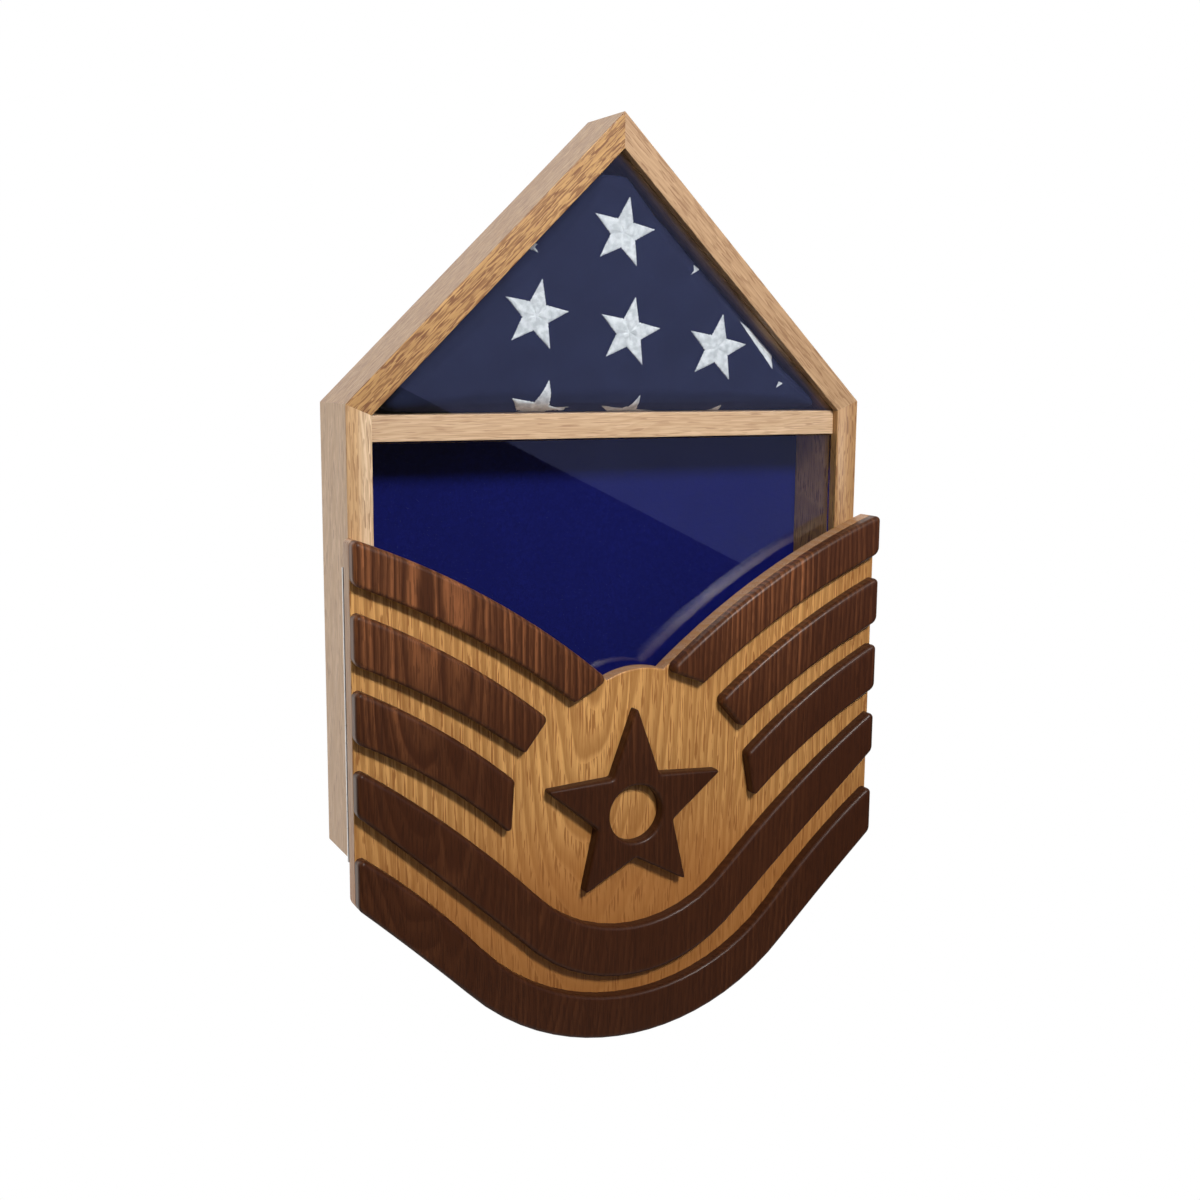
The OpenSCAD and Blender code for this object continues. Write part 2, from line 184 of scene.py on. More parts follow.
class Graph:
    """The node tree of a material or of the world. Most methods add nodes and return a socket."""

    def __init__(self, name, tree=None):
        if tree is None:
            self.material = bpy.data.materials.new(name)
            self.material.use_nodes = True
            tree = self.material.node_tree
        self.nodes, self.links = tree.nodes, tree.links
        self.nodes.clear()

    def plug(self, socket, value):
        """Links a socket to another one, or sets its value."""
        if isinstance(value, bpy.types.NodeSocket):
            self.links.new(value, socket)
        elif isinstance(value, tuple) and socket.type == "RGBA":
            socket.default_value = (*value[:3], 1)
        else:
            socket.default_value = value

    def add(self, kind, inputs, **settings):
        """A node of a kind, with its inputs by name or number and its settings."""
        node = self.nodes.new(kind)
        for key, value in settings.items():
            setattr(node, key, value)
        for key, value in inputs.items():
            self.plug(node.inputs[key], value)
        return node

    def place(self, turn=(0, 0, 0), shift=(0, 0, 0)):
        """The point on the piece in millimetres, turned and then shifted."""
        point = self.add("ShaderNodeTexCoord", {}).outputs["Object"]
        scale = (1 / MM, 1 / MM, 1 / MM)
        inputs = {"Vector": point, "Location": shift, "Rotation": turn, "Scale": scale}
        return self.add("ShaderNodeMapping", inputs).outputs[0]

    def stretch(self, vector, scale):
        return self.add("ShaderNodeMapping", {"Vector": vector, "Scale": scale}).outputs[0]

    def split(self, vector):
        return self.add("ShaderNodeSeparateXYZ", {0: vector}).outputs

    def join(self, x, y, z):
        return self.add("ShaderNodeCombineXYZ", {0: x, 1: y, 2: z}).outputs[0]

    def maths(self, operation, a, b=0.0, c=0.0):
        return self.add("ShaderNodeMath", {0: a, 1: b, 2: c}, operation=operation).outputs[0]

    def noise(self, vector, scale, detail=2.0, roughness=0.5):
        inputs = {"Vector": vector, "Scale": scale, "Detail": detail, "Roughness": roughness}
        return self.add("ShaderNodeTexNoise", inputs).outputs["Fac"]

    def step(self, value, low, high, to_low=0.0, to_high=1.0):
        """A smooth rise from to_low to to_high as value goes from low to high."""
        inputs = {0: value, 1: low, 2: high, 3: to_low, 4: to_high}
        return self.add("ShaderNodeMapRange", inputs, interpolation_type="SMOOTHSTEP").outputs[0]

    def blend(self, share, a, b):
        """Colour a with a share of colour b."""
        node = self.add("ShaderNodeMix", {}, data_type="RGBA")
        self.plug(node.inputs[0], share)
        self.plug(node.inputs[6], a)
        self.plug(node.inputs[7], b)
        return node.outputs[2]

    def bump(self, height, depth, strength):
        inputs = {"Height": height, "Distance": depth, "Strength": strength}
        return self.add("ShaderNodeBump", inputs).outputs[0]

    def mix_shaders(self, share, a, b):
        """Shader node a with a share of shader node b."""
        inputs = {0: share, 1: a.outputs[0], 2: b.outputs[0]}
        return self.add("ShaderNodeMixShader", inputs).outputs[0]

    def in_view(self):
        """1 for what the camera sees, also through a clear pane, and 0 for other light."""
        path = self.add("ShaderNodeLightPath", {}).outputs
        straight = self.maths("LESS_THAN", path["Glossy Depth"], 0.5)
        straight = self.maths("MULTIPLY", straight, path["Is Transmission Ray"])
        return self.maths("MAXIMUM", path["Is Camera Ray"], straight)

    def principled(self, **values):
        """The main shader's node. Its inputs have their own names, with underscores for spaces."""
        inputs = {key.replace("_", " "): value for key, value in values.items()}
        return self.add("ShaderNodeBsdfPrincipled", inputs)

    def finish(self, **values):
        """The material of one main shader."""
        return self.show(self.principled(**values).outputs[0])

    def show(self, socket):
        """The material, with a shader's socket as its surface."""
        self.links.new(socket, self.add("ShaderNodeOutputMaterial", {}).inputs["Surface"])
        return self.material


# ---------------------------------------------------------------- wood

WOOD_LOOK = {
    "strip": None,  # width of the strips that the wood is glued up from, mm
    "strips": 0.0,  # how far the strips differ in tone
    "edge_grain": False,  # the heart of the tree lies beside the board, not behind it
    "arch_at": 0.0,  # x near which the arches of all strips lie, mm
    "level": 0.0,  # how far below z = 0 the tilt begins, mm
    "tilt": 0.06,  # how fast the heart comes nearer along the grain
    "depth": 40.0,  # how much further behind the face the heart may lie, mm
    "sway": 40.0,  # how far the rings wander sideways, mm
    "wander": 5.0,  # and in and out, mm
    "gap": 5.0,  # between rings, mm
    "figure": 0.45,  # share of the dark tone in late wood
    "streak": 0.08,  # broad streaks for each mm of radius
    "streaky": 0.3,  # and their share of the dark tone
    "fibre_size": (1.1, 1.1, 0.02),  # fibres for each mm across, across and along the grain
    "fibres": 0.45,  # and their share of the dark tone
    "pore_size": (1.1, 1.1, 0.06),  # pores for each mm, likewise
    "pore_from": 0.52,  # noise above this is a pore
    "porous": 0.6,  # share of the pore tone
    "sparse": 0.4,  # and what is left of it in late wood
    "knots": False,
    "rim": None,  # painted light and shade: the tone of the side faces, lighter or darker than the front as the light falls on them
    "sapwood": (0.0, 1.0, 0.0),  # from x to x in mm, and its share
    "painted_shade_below": (0.0, -1.0, 0.0),  # painted shade towards the bottom, from z down to z in mm, and its share
    "painted_shade_tone": None,  # the painted shade's tone, the dark tone if there is no other
    "rough": 0.42,
    "shine": 0.5,
    "coat": 0.1,
}
SAPWOOD = (0.86, 0.68, 0.47)
HEART_AT = 90.0  # the least distance of the heart of the tree, mm
HEART_SIZE, HEART_BLUR = 20.0, 25.0  # how near the rings come to it, and how softly, mm


def wood_strips(graph, x, seed, look):
    """A strip's tone, the distance from its arches' middle, and its heart's depth and tilt."""
    if not look["strip"]:
        return 0.5, x, look["depth"], look["tilt"]
    maths = graph.maths
    number = maths("FLOOR", maths("DIVIDE", x, look["strip"]))
    place = {"W": maths("ADD", number, seed)}
    luck = graph.add("ShaderNodeTexWhiteNoise", place, noise_dimensions="1D")
    tone, deeper, steeper = graph.split(luck.outputs["Color"])
    middle = maths("MULTIPLY", maths("ADD", number, 0.5), look["strip"])
    arches = maths("ADD", maths("MULTIPLY", middle, 0.3), 0.7 * look["arch_at"])
    depth = maths("MULTIPLY", maths("ADD", deeper, 0.4), look["depth"])
    tilt = maths("MULTIPLY", maths("ADD", steeper, 0.5), look["tilt"])
    return tone, maths("SUBTRACT", x, arches), depth, tilt


def ring_radius(graph, point, place, depth, tilt, look):
    """The distance from the heart of the wood in millimetres, which the growth rings follow."""
    maths = graph.maths
    x, y, z = place
    drift = graph.noise(graph.stretch(point, (0.012, 0.012, 0.004)), 1.0, 2.0)
    shake = graph.noise(graph.stretch(point, (0.05, 0.05, 0.012)), 1.0, 2.0)
    across = maths("ADD", x, maths("MULTIPLY", maths("SUBTRACT", drift, 0.5), look["sway"]))
    along = maths("MULTIPLY", maths("ADD", z, look["level"]), tilt)
    inward = maths("ADD", maths("ADD", maths("ADD", y, HEART_AT), depth), along)
    inward = maths("SMOOTH_MAX", maths("ABSOLUTE", inward), HEART_SIZE, HEART_BLUR)
    squares = maths("ADD", maths("MULTIPLY", across, across), maths("MULTIPLY", inward, inward))
    return maths("ADD", maths("SQRT", squares), maths("MULTIPLY", shake, look["wander"]))


def wood(name, seed, lean, pale, dark, pore, **look):
    """Lacquered wood: rings that run up into arches, streaks, fibres and pores, with painted light
    and shade.

    lean is the grain's angle from vertical, towards +X. seed picks the place in the tree.
    """
    look = WOOD_LOOK | look
    graph = Graph(name)
    maths = graph.maths
    shift = (180 * math.sin(seed * 1.3), 0, 230 * math.sin(seed * 3.7))
    point = graph.place(turn=(0, -lean, 0), shift=shift)  # with Z along the grain
    x, y, z = graph.split(point)
    if look["edge_grain"]:
        x, y = y, x
    tone, x, depth, tilt = wood_strips(graph, x, seed, look)
    radius = ring_radius(graph, point, (x, y, z), depth, tilt, look)

    ring = maths("FRACT", maths("DIVIDE", radius, look["gap"]))
    late = maths("MULTIPLY", graph.step(ring, 0.1, 0.8), graph.step(ring, 0.82, 1.0, 1.0, 0.0))
    band = graph.join(maths("MULTIPLY", radius, look["streak"]), 0.0, maths("MULTIPLY", z, 0.0015))
    streaks = graph.noise(band, 1.0, 3.0, 0.6)
    fibre = graph.noise(graph.stretch(point, look["fibre_size"]), 1.0, 3.0, 0.7)
    pore_noise = graph.noise(graph.stretch(point, look["pore_size"]), 1.0, 1.0, 0.4)
    pores = graph.step(pore_noise, look["pore_from"], look["pore_from"] + 0.08)
    pores = maths("MULTIPLY", pores, graph.step(ring, 0.3, 0.55, 1.0, look["sparse"]))

    # painted light and shade: faces that look sideways get their own tone, lighter or darker than
    # the front as the light falls on them
    _, facing, _ = graph.split(graph.add("ShaderNodeTexCoord", {}).outputs["Normal"])
    on_side = graph.step(maths("ABSOLUTE", facing), 0.3, 0.8, 1.0, 0.0)
    pale = graph.blend(on_side, pale, look["rim"] or pale)
    from_x, to_x, share = look["sapwood"]
    sapwood = graph.step(graph.split(graph.place())[0], from_x, to_x, 0.0, share)
    pale = graph.blend(sapwood, pale, SAPWOOD)
    colour = graph.blend(graph.step(streaks, 0.36, 0.64, 0.0, look["streaky"]), pale, dark)
    colour = graph.blend(maths("MULTIPLY", late, look["figure"]), colour, dark)
    colour = graph.blend(maths("MULTIPLY", tone, look["strips"]), colour, dark)
    colour = graph.blend(graph.step(fibre, 0.38, 0.62, 0.0, look["fibres"]), colour, dark)
    # painted shade: darker towards the bottom, where less of the light falls
    high, low, share = look["painted_shade_below"]
    deeper = graph.step(graph.split(graph.place())[2], low, high, share, 0.0)
    colour = graph.blend(deeper, colour, look["painted_shade_tone"] or dark)
    colour = graph.blend(maths("MULTIPLY", pores, look["porous"]), colour, pore)
    if look["knots"]:
        spread = graph.stretch(point, (0.013, 0.013, 0.008))
        cells = graph.add("ShaderNodeTexVoronoi", {"Vector": spread, "Scale": 1.0})
        knot = graph.step(cells.outputs["Distance"], 0.02, 0.035, 0.85, 0.0)
        colour = graph.blend(knot, colour, pore)
    height = maths("SUBTRACT", maths("MULTIPLY", fibre, 0.4), pores)
    return graph.finish(
        Base_Color=colour,
        Roughness=graph.step(fibre, 0.3, 0.7, look["rough"], look["rough"] + 0.12),
        Normal=graph.bump(height, 0.05 * MM, 0.5),
        Specular_IOR_Level=look["shine"],
        Coat_Weight=look["coat"],
        Coat_Roughness=0.3,
    )


def oak(name, seed, lean, tone, shade=0.55, **look):
    """Red oak of a tone: coarse dark pores in paler wood."""
    dark = (tone[0] * shade, tone[1] * shade * 0.82, tone[2] * shade * 0.62)
    pore = (tone[0] * 0.34, tone[1] * 0.22, tone[2] * 0.14)
    return wood(name, seed, lean, tone, dark, pore, **look)


WALNUT_SHADES = (  # pale, dark and pore
    (0.210, 0.077, 0.029),
    (0.028, 0.0080, 0.0026),
    (0.010, 0.0030, 0.0012),
)
WALNUT_LOOK = {
    "strip": 80.0,
    "strips": 0.8,
    "arch_at": -158.0,
    "level": 220.0,
    "tilt": -0.16,
    "depth": 30.0,
    "sway": 14.0,
    "wander": 4.0,
    "gap": 4.6,
    "figure": 0.85,
    "streak": 0.13,
    "streaky": 0.62,
    "fibre_size": (0.55, 0.55, 0.008),
    "fibres": 0.45,
    "pore_size": (1.3, 1.3, 0.08),
    "porous": 0.4,
    "sparse": 0.8,
    "knots": True,
    # painted shade on the lower bars and the star, darker towards the bottom
    "painted_shade_below": (-90.0, -240.0, 0.86),
    "shine": 0.12,
    "coat": 0.2,
}


def walnut(name, seed, tone):
    """Walnut glued up from upright strips, with streaks, fine pores, a few pin knots and painted
    shade low down.
    """
    shades = [tuple(c * tone for c in shade) for shade in WALNUT_SHADES]
    return wood(name, seed, 0.0, *shades, **WALNUT_LOOK)


def hardboard(name):
    graph = Graph(name)
    point = graph.place()
    speck = graph.noise(point, 0.9, 4.0, 0.7)
    cloud = graph.noise(point, 0.03, 2.0)
    colour = graph.blend(graph.step(speck, 0.35, 0.7), (0.25, 0.15, 0.08), (0.34, 0.22, 0.13))
    colour = graph.blend(graph.step(cloud, 0.35, 0.65, 0.0, 0.4), colour, (0.21, 0.12, 0.065))
    return graph.finish(Base_Color=colour, Roughness=0.6, Normal=graph.bump(speck, 0.1 * MM, 0.4))


# ---------------------------------------------------------------- cloth, glass, metal and rubber

THREAD_GAP = 0.55  # between the flag's threads, mm
STITCH_GAP = 1.1  # between stitches, mm


def flag_cloth(name):
    graph = Graph(name)
    point = graph.place(turn=(0, math.radians(8.3), 0))
    x, _, z = graph.split(point)
    warp = graph.maths("SINE", graph.maths("MULTIPLY", x, 2 * math.pi / THREAD_GAP))
    weft = graph.maths("SINE", graph.maths("MULTIPLY", z, 2 * math.pi / THREAD_GAP))
    weave = graph.maths("MULTIPLY", warp, weft)
    cloud = graph.noise(point, 0.05, 3.0)
    slub = graph.noise(graph.stretch(point, (0.05, 1.0, 1.2)), 1.0, 2.0)
    navy, paler = (0.0086, 0.0115, 0.032), (0.0112, 0.0150, 0.040)
    colour = graph.blend(graph.step(cloud, 0.3, 0.7), navy, paler)
    colour = graph.blend(graph.step(slub, 0.4, 0.7, 0.0, 0.25), colour, (0.0072, 0.0095, 0.030))
    return graph.finish(
        Base_Color=colour,
        Roughness=0.85,
        Normal=graph.bump(weave, 0.04 * MM, 0.3),
        Specular_IOR_Level=0.1,
        Sheen_Weight=0.03,
        Sheen_Roughness=0.45,
        Sheen_Tint=(0.55, 0.62, 1.0),
    )


def embroidery(name):
    """White thread. The UV map runs along each arm of a star and across it, in millimetres."""
    graph = Graph(name)
    lay = graph.add("ShaderNodeUVMap", {}, uv_map="stitch").outputs[0]
    along, across, _ = graph.split(lay)
    wander = graph.noise(lay, 0.5, 2.0)
    turns = graph.maths("MULTIPLY", along, 2 * math.pi / STITCH_GAP)
    phase = graph.maths("ADD", turns, graph.maths("MULTIPLY", wander, 9.0))
    slant = graph.maths("MULTIPLY", graph.maths("ABSOLUTE", across), 1.4)
    thread = graph.maths("SINE", graph.maths("ADD", phase, slant))
    patch = graph.noise(graph.place(), 0.22, 3.0)
    raised = graph.maths("MULTIPLY", thread, 0.5)
    height = graph.maths("ADD", raised, graph.maths("MULTIPLY", patch, 1.5))
    colour = graph.blend(graph.step(patch, 0.3, 0.7), (0.48, 0.52, 0.53), (0.75, 0.785, 0.79))
    # painted shade in the gaps between the threads
    colour = graph.blend(graph.step(thread, -1.0, -0.2, 0.22, 0.0), colour, (0.27, 0.30, 0.33))
    normal = graph.bump(height, 0.25 * MM, 0.7)
    return graph.finish(Base_Color=colour, Roughness=0.5, Normal=normal, Sheen_Weight=0.2)


def felt(name):
    graph = Graph(name)
    point = graph.place()
    fuzz = graph.noise(point, 1.1, 5.0, 0.75)
    tuft = graph.noise(point, 0.28, 3.0, 0.6)
    cloud = graph.noise(point, 0.02, 2.0)
    blue, paler = (0.0026, 0.0042, 0.066), (0.0056, 0.0086, 0.110)
    colour = graph.blend(graph.step(fuzz, 0.35, 0.65), blue, paler)
    colour = graph.blend(graph.step(tuft, 0.45, 0.7, 0.0, 0.35), colour, (0.0070, 0.0100, 0.130))
    colour = graph.blend(graph.step(cloud, 0.35, 0.65, 0.0, 0.25), colour, (0.0032, 0.0050, 0.074))
    return graph.finish(
        Base_Color=colour,
        Roughness=0.95,
        Normal=graph.bump(graph.maths("ADD", fuzz, tuft), 0.3 * MM, 0.6),
        Specular_IOR_Level=0.05,
        Sheen_Weight=0.015,
        Sheen_Roughness=0.6,
        Sheen_Tint=(0.3, 0.35, 1.0),
    )


def acrylic(name):
    """Clear sheet that lets lamps and bounced light through."""
    graph = Graph(name)
    smear = graph.noise(graph.place(), 0.02, 3.0)
    glass = graph.principled(
        Base_Color=(0.985, 0.99, 1.0),
        Roughness=graph.step(smear, 0.3, 0.7, 0.0, 0.02),
        Transmission_Weight=1.0,
        IOR=1.49,
    )
    clear = graph.add("ShaderNodeBsdfTransparent", {"Color": (0.93, 0.94, 0.95)})
    path = graph.add("ShaderNodeLightPath", {}).outputs
    through = graph.maths("MAXIMUM", path["Is Shadow Ray"], path["Is Diffuse Ray"])
    return graph.show(graph.mix_shaders(through, glass, clear))


def metal(name, colour, rough):
    """Plated metal with fine brush marks and a little tarnish."""
    graph = Graph(name)
    point = graph.place()
    brush = graph.noise(graph.stretch(point, (4.0, 4.0, 0.2)), 1.0, 3.0, 0.6)
    tarnish = graph.noise(point, 0.08, 3.0)
    dull = tuple(c * 0.7 for c in colour)
    shade = graph.blend(graph.step(tarnish, 0.4, 0.75, 0.0, 0.5), colour, dull)
    return graph.finish(
        Base_Color=shade,
        Metallic=1.0,
        Roughness=graph.step(brush, 0.3, 0.7, rough, rough + 0.15),
        Normal=graph.bump(brush, 0.03 * MM, 0.5),
    )


def rubber(name):
    graph = Graph(name)
    grit = graph.noise(graph.place(), 2.5, 3.0, 0.6)
    colour = graph.blend(graph.step(grit, 0.3, 0.7), (0.012, 0.012, 0.012), (0.025, 0.025, 0.026))
    return graph.finish(Base_Color=colour, Roughness=0.75, Normal=graph.bump(grit, 0.08 * MM, 0.5))


# ---------------------------------------------------------------- shapes

FLAT = math.radians(0.3)  # faces that meet at less than this are one
SHARP = math.radians(60)  # edges sharper than this are eased
ROUND_STEPS = 5
LEAST_COSINE = 0.3  # keeps a round-over from running far in at a narrow tip
ROOM_TAKEN = 0.85  # the share of a hollow curve's radius that a round-over may take
REACH_SLOPE = 0.35  # how fast a round-over may widen along the outline


def clean_copy(node):
    """The CAD node's mesh as a bmesh, with joined vertices and each flat face in one piece."""
    bm = bmesh.new()
    bm.from_mesh(NODES[node].data)
    bmesh.ops.remove_doubles(bm, verts=bm.verts, dist=0.1 * NEAR)
    bmesh.ops.dissolve_limit(bm, angle_limit=FLAT, verts=bm.verts, edges=bm.edges)
    bm.normal_update()
    return bm


def add_piece(name, bm, body, material, sharp=35):
    """Makes a piece of the bmesh, smooth except at edges sharper than an angle in degrees."""
    for face in bm.faces:
        face.smooth = True
    for edge in bm.edges:
        angle = edge.calc_face_angle(math.pi) if len(edge.link_faces) == 2 else math.pi
        edge.smooth = angle < math.radians(sharp)
    mesh = bpy.data.meshes.new(name)
    bm.to_mesh(mesh)
    bm.free()
    piece = bpy.data.objects.new(name, mesh)
    bpy.context.scene.collection.objects.link(piece)
    mesh.materials.append(material)
    even = piece.modifiers.new("even_shading", "WEIGHTED_NORMAL")
    even.keep_sharp = True
    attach(piece, body)
    return piece


def stand_in(node, bm, material, suffix="shaped"):
    """A piece that stands for a CAD node."""
    piece = add_piece(f"{node}_{suffix}", bm, BODY_OF[node], material)
    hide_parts(node)
    return piece


def round_edges(bm, edges, width, steps):
    """Rounds edges over, however little room they have."""
    bmesh.ops.bevel(
        bm,
        geom=edges,
        offset=width,
        segments=steps,
        profile=0.5,
        affect="EDGES",
        clamp_overlap=False,
    )


def eased_board(node, material, width=0.7 * MM, shortest=60 * MM):
    """The CAD board with those front and back edges eased that are longer than the shortest."""
    bm = clean_copy(node)
    low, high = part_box(node)
    picked = [
        e
        for e in bm.edges
        if e.calc_length() > shortest
        and len(e.link_faces) == 2
        and e.calc_face_angle(0.0) > SHARP
        and any(all(abs(v.co.y - y) < NEAR for v in e.verts) for y in (low.y, high.y))
    ]
    round_edges(bm, picked, width, 3)
    return stand_in(node, bm, material)


def face_loops(bm, y):
    """The outlines of the flat face at a depth, as lists of (x, z), with the wood on their left."""
    flat = {f for f in bm.faces if all(abs(v.co.y - y) < NEAR for v in f.verts)}
    following = {}
    for face in flat:
        for loop in face.loops:
            if any(f not in flat for f in loop.edge.link_faces):
                following[loop.vert] = loop.link_loop_next.vert
    outlines = []
    while following:
        start, vert = next(iter(following.items()))
        outline = [start]
        del following[start]
        while vert is not start:
            outline.append(vert)
            vert = following.pop(vert)
        outlines.append([Vector((v.co.x, v.co.z)) for v in outline])
    return sorted(outlines, key=len, reverse=True)


def insets(outline, radius):
    """For each point of an outline, the way into the wood and how far a round-over may go there."""
    n = len(outline)
    ways, reach = [], []
    for i, p in enumerate(outline):
        before, after = p - outline[i - 1], outline[(i + 1) % n] - p
        a, b = before.normalized(), after.normalized()
        turn = math.atan2(a.x * b.y - a.y * b.x, a.dot(b))
        left = (Vector((-a.y, a.x)) + Vector((-b.y, b.x))).normalized()
        ways.append(left / max(math.cos(turn / 2), LEAST_COSINE))
        room = min(before.length, after.length) / turn if turn > 1e-3 else radius
        reach.append(min(radius, ROOM_TAKEN * room))
    for _ in range(2):
        for i in list(range(n)) + list(range(n - 1, -1, -1)):
            for j in (i - 1, (i + 1) % n):
                apart = (outline[i] - outline[j]).length
                reach[i] = min(reach[i], reach[j] + REACH_SLOPE * apart)
    return ways, reach


def rounded_slab(node, material, radius):
    """The CAD slab with its front edges, and those of its holes, rounded over."""
    source = clean_copy(node)
    low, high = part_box(node)
    outlines = face_loops(source, low.y)
    source.free()
    bm = bmesh.new()
    fronts, backs = [], []
    for outline in outlines:
        ways, reach = insets(outline, radius)
        rings = [[bm.verts.new((p.x, high.y, p.y)) for p in outline]]
        for k in range(ROUND_STEPS + 1):
            angle = math.pi / 2 * k / ROUND_STEPS
            y = low.y + radius * (1 - math.sin(angle))
            share = 1 - math.cos(angle)
            points = [p + w * r * share for p, w, r in zip(outline, ways, reach)]
            rings.append([bm.verts.new((p.x, y, p.y)) for p in points])
        for outer, inner in zip(rings, rings[1:]):
            for i in range(len(outline)):
                j = (i + 1) % len(outline)
                bm.faces.new((outer[i], outer[j], inner[j], inner[i]))
        backs.append(rings[0])
        fronts.append(rings[-1])
    for caps in (fronts, backs):
        verts = [v for ring in caps for v in ring]
        for tri in tessellate_polygon([[v.co for v in ring] for ring in caps]):
            bm.faces.new([verts[i] for i in tri])
    bmesh.ops.recalc_face_normals(bm, faces=bm.faces)
    return stand_in(node, bm, material)


def dress(node, material):
    """Gives a CAD node its material."""
    piece = NODES[node]
    if not piece.material_slots:
        piece.data.materials.append(material)
    for slot in piece.material_slots:
        slot.material = material


# ---------------------------------------------------------------- the flag

FLAG_FRONT = -52.3 * MM  # behind the upper pane, with room for the stars' stitching
FLAG_LEFT, FLAG_RIGHT, FLAG_LOW, FLAG_HIGH = -192 * MM, 195 * MM, 32.4 * MM, 213 * MM
FLAG_TIP = 11 * MM  # half the width of its blunt top
FLAG_HEART = 55 * MM  # above its lower edge. Insets move its corners towards this point
FLAG_FOLD = 8 * MM  # radius of its folded edges
FLAG_MESH = 4 * MM
CORNER_INSET = 1.7  # how far a corner moves in for each step of its sides
CLOTH_FRAMES = 14
CLOTH_MOVE = 4 * MM  # no point goes further in the simulation
WRINKLE = 0.35  # mm
ROOF_GAP = 1 * MM  # between the flag and the roof boards

STAR_RADIUS = 27.3 * MM
STAR_NOTCH = 0.41  # the inner corners' distance as a share of the radius
STAR_TURN = math.radians(79)  # the direction of each star's first tip
STAR_MIDDLE = Vector((10.2, 92.4)) * MM
STAR_RIGHT = Vector((77.4, -11.2)) * MM  # from one star to the next in its row
STAR_DOWN = Vector((5.6, -73.5)) * MM  # and to the one below
STAR_PLACES = [(0, 0), (-1, 0), (1, 0), (0, -1), (-1, 1), (0, 1), (1, 1)]  # steps right and down
STAR_TIPS = [  # the bits of stars that show at the folds, mm
    [
        (109.8, 103.4), (121.7, 87.0), (139.8, 64.2), (140.0, 71.5),
        (146.0, 75.5), (141.0, 80.5), (126.5, 95.8),
    ],
    [(145.7, 55.8), (143.2, 50.3), (149.7, 54.0)],
    [(68.3, 144.6), (67.0, 140.2), (62.9, 136.6), (75.0, 141.2)],
    [(-69.5, 154.0), (-62.9, 148.8), (-64.5, 159.5)],
]
STAR_RINGS = (0.12, 0.24, 0.36, 0.48, 0.6, 0.7, 0.8, 0.88, 0.94, 0.98, 1.0)  # shares of the outline
STITCHES = 14  # points along each side of an arm
ZIGZAG, RAGGED = 0.32, 0.5  # how far its stitches stand out, mm


def flag_corners(inset=0.0):
    """The corners of the triangle with its blunt top, counterclockwise from its lower left."""
    low = [Vector((x, FLAG_LOW)) for x in (FLAG_LEFT, FLAG_RIGHT)]
    high = [Vector((x, FLAG_HIGH)) for x in (FLAG_TIP, -FLAG_TIP)]
    middle = (low[0] + low[1]) / 2 + Vector((0, FLAG_HEART))
    return [p + (middle - p).normalized() * inset * CORNER_INSET for p in low + high]


def rounded(corners, radius, spacing):
    """Points about a spacing apart along a closed outline whose corners are rounded."""
    points = []
    n = len(corners)
    for i, p in enumerate(corners):
        to_last, to_next = corners[i - 1] - p, corners[(i + 1) % n] - p
        cut = radius / math.tan(to_last.angle(to_next) / 2)
        cut = min(cut, 0.45 * min(to_last.length, to_next.length))
        start, end = p + to_last.normalized() * cut, p + to_next.normalized() * cut
        for t in (k / 6 for k in range(7)):
            points.append((1 - t) ** 2 * start + 2 * t * (1 - t) * p + t * t * end)
    dense = []
    for p, q in zip(points, points[1:] + points[:1]):
        count = max(1, round((q - p).length / spacing))
        dense += [p.lerp(q, k / count) for k in range(count)]
    return dense


def baked(piece):
    """A new mesh of a piece with its modifiers applied."""
    graph = bpy.context.evaluated_depsgraph_get()
    return bpy.data.meshes.new_from_object(piece.evaluated_get(graph))


def swap_mesh(piece, mesh):
    """Gives a piece another mesh and removes its modifiers."""
    old = piece.data
    piece.modifiers.clear()
    piece.data = mesh
    bpy.data.meshes.remove(old)


def flag_form(front, back):
    """The flag before the simulation, as a bmesh: a closed triangular form with rounded folds."""
    outline = rounded(flag_corners(1.6 * MM), 6 * MM, 8 * MM)
    bm = bmesh.new()
    rings = [[bm.verts.new((p.x, y, p.y)) for p in outline] for y in (front, back)]
    for i in range(len(outline)):
        j = (i + 1) % len(outline)
        bm.faces.new((rings[0][i], rings[0][j], rings[1][j], rings[1][i]))
    for ring in rings:
        bm.faces.new(ring)
    bmesh.ops.recalc_face_normals(bm, faces=bm.faces)
    round_edges(bm, [e for e in bm.edges if len({v.co.y for v in e.verts}) == 1], FLAG_FOLD, 5)
    bmesh.ops.triangulate(bm, faces=bm.faces)
    return bm


def puffed(piece):
    """The mesh of a piece after a short cloth simulation with pressure and without gravity."""
    cloth = piece.modifiers.new("cloth", "CLOTH").settings
    cloth.quality = 4
    cloth.mass = 0.3
    cloth.tension_stiffness = cloth.compression_stiffness = 12
    cloth.bending_stiffness = 0.4
    cloth.use_pressure = True
    cloth.uniform_pressure_force = 4
    cloth.effector_weights.gravity = 0
    for k in range(CLOTH_FRAMES):
        bpy.context.scene.frame_set(k + 1)
    mesh = baked(piece)
    bpy.context.scene.frame_set(1)
    return mesh


def hold(mesh, start, back):
    """Keeps the puffed flag near its start, behind the pane, on the shelf and under the roof."""
    roof_peak = ROOF_HIGH.z - BOARD / math.cos(PITCH)
    for vert, home in zip(mesh.vertices, start):
        move = vert.co - home
        move *= min(1, CLOTH_MOVE / max(move.length, 1e-9))
        spot = home + move
        ripple = noise.noise(Vector((home.x * 30, home.y * 60, home.z * 38)))
        spot += Vector(vert.normal) * WRINKLE * MM * ripple
        spot.y = max(FLAG_FRONT, min(spot.y, back))
        spot.z = max(spot.z, FLAG_LOW)
        spot.z = min(spot.z, roof_peak - math.tan(PITCH) * abs(spot.x) - ROOF_GAP)
        vert.co = spot


